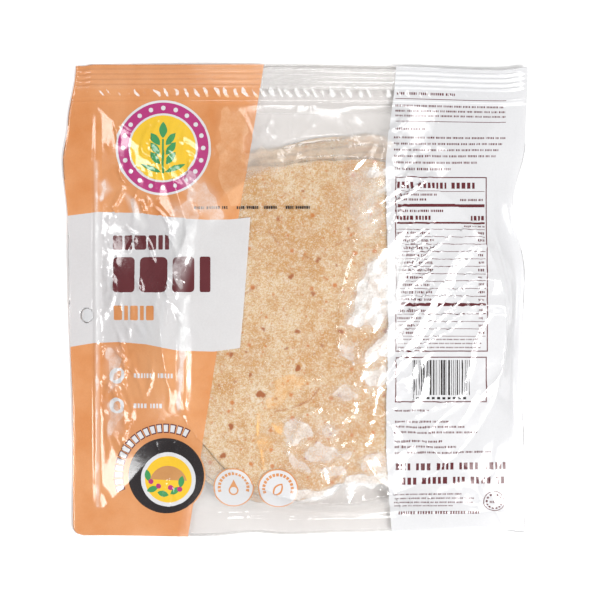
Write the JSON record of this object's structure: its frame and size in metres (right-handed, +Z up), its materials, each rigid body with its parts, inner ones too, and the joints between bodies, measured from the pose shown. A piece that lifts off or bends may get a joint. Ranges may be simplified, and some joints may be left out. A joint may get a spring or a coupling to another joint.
{
  "type": "bag of flatbread",
  "caption": "Clear zip-topped plastic bag lying on its back, with a round stack of thin soft flatbread, plain printed panels and a punched hang hole in its side header.",
  "frame": {"origin": "centre of the bag's bounding box on the table it lies on", "axes": "+X across the bag away from the header, +Y towards the zip, +Z up from the table"},
  "size_m": [0.306, 0.311, 0.0223],
  "materials": {
    "bag": "glossy clear and printed film over tan bread"
  },
  "bodies": {
    "root": {"bag": "bag"}
  },
  "joints": []
}
